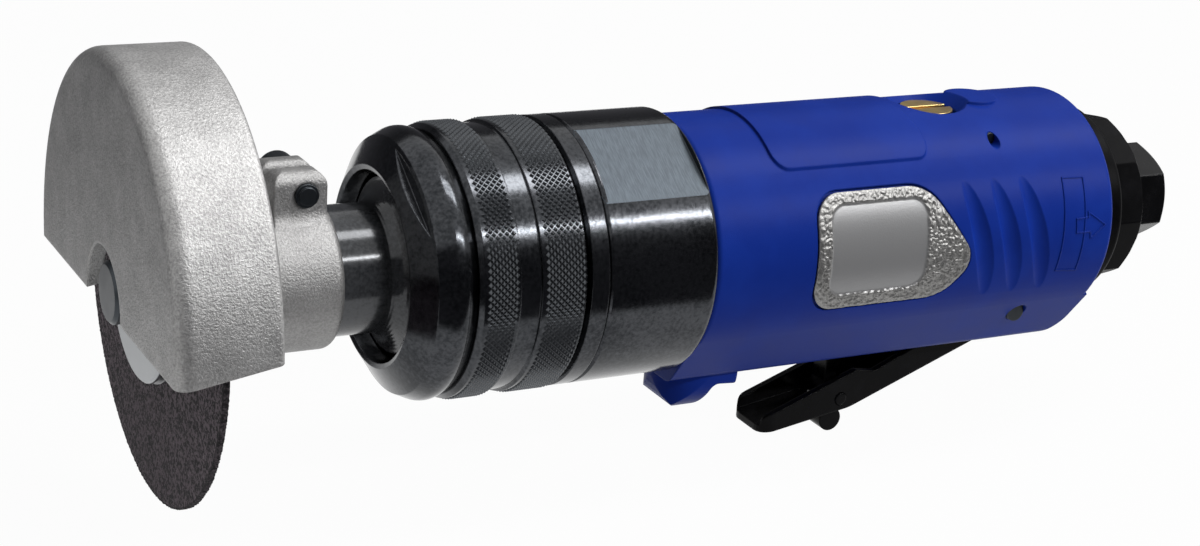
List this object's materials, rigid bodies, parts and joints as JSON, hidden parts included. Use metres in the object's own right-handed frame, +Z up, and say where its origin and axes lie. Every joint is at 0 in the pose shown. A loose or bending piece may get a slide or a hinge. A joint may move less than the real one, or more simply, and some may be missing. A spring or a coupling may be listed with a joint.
{
  "type": "pneumatic cut-off tool",
  "caption": "Hand-held air tool: barrel grip with squeeze lever and lock-off, vane motor driving a thin cutting wheel in a clamped half guard.",
  "frame": {"origin": "centre of the air inlet's mouth, on the tool's axis", "axes": "+X along the axis towards the cutting wheel, +Y to the tool's left, +Z up, away from the lever"},
  "size_m": [0.2242, 0.0828, 0.0857],
  "materials": {
    "blue_grip": "satin moulded composite",
    "black_oxide": "black oxide, satin",
    "black_part": "black, satin",
    "cast_aluminium": "bead-blasted casting",
    "badge_silver": "stippled silver",
    "abrasive": "bonded grit",
    "zinc": "zinc plated",
    "steel": "ground steel",
    "brass": "turned brass",
    "rubber": "matt",
    "felt": "felt",
    "vane": "laminated phenolic"
  },
  "bodies": {
    "housing": {"grip": "blue_grip", "badge_left": "badge_silver", "badge_right": "badge_silver", "motor_housing": "black_oxide", "housing_seal": "rubber", "spacer_ring": "black_oxide", "lock_collar": "black_oxide", "nose_cap": "black_oxide", "nose_housing": "black_oxide", "nose_seal": "rubber", "cylinder_liner": "steel", "rear_end_plate": "steel", "front_end_plate": "steel", "rear_bearing_outer": "steel", "front_bearing_outer": "steel", "nose_bearing_outer": "steel", "inlet_bushing": "black_part", "inlet_screen": "zinc", "exhaust_ring": "black_part", "rear_cap": "black_part", "silencer": "felt", "lever_pin": "steel", "valve_bush": "brass", "valve_spring": "steel", "regulator_pin": "steel"},
    "spindle": {"rear_bearing_balls": "steel", "rear_bearing_inner": "steel", "front_bearing_balls": "steel", "front_bearing_inner": "steel", "nose_bearing_balls": "steel", "nose_bearing_inner": "steel", "rotor": "steel", "rotor_vanes": "vane", "spindle": "steel", "inner_flange": "steel", "cutting_wheel": "abrasive", "wheel_washer": "steel", "outer_flange": "zinc", "wheel_screw": "steel"},
    "guard": {"wheel_guard": "cast_aluminium", "clamp_screw": "black_part"},
    "lever": {"throttle_lever": "black_part", "lock_pin": "steel", "lock_spring": "steel"},
    "lock": {"lock_lever": "black_part"},
    "valve": {"valve_stem": "steel", "stem_seal": "rubber"},
    "regulator": {"speed_regulator": "brass", "regulator_seal": "rubber"}
  },
  "joints": [
    {"name": "spindle_spin", "type": "hinge", "parent": "housing", "child": "spindle", "pos_m": [0.2152, 0, 0], "axis": [1, 0, 0], "continuous": true},
    {"name": "guard_turn", "type": "hinge", "parent": "housing", "child": "guard", "pos_m": [0.195, 0, 0], "axis": [1, 0, 0], "range_deg": [-180, 180]},
    {"name": "lever_squeeze", "type": "hinge", "parent": "housing", "child": "lever", "pos_m": [0.042, 0, -0.0175], "axis": [0, -1, 0], "range_deg": [0, 12], "stiffness_Nm_per_rad": 0.4, "springref_deg": -22.92},
    {"name": "lock_swing", "type": "hinge", "parent": "lever", "child": "lock", "pos_m": [0.0753, 0, -0.0362], "axis": [0, 1, 0], "range_deg": [0, 30], "stiffness_Nm_per_rad": 0.01, "springref_deg": -17.19},
    {"name": "valve_lift", "type": "slide", "parent": "housing", "child": "valve", "axis": [0, 0, 1], "range_m": [0, 0.0045], "deforming": ["valve_spring"]},
    {"name": "regulator_turn", "type": "hinge", "parent": "housing", "child": "regulator", "pos_m": [0.0582, 0, 0.015], "axis": [0, 0, 1], "range_deg": [-90, 90]}
  ],
  "couplings": [
    {"joint": "valve_lift", "follows": "lever_squeeze", "m_per_rad": 0.0195}
  ]
}
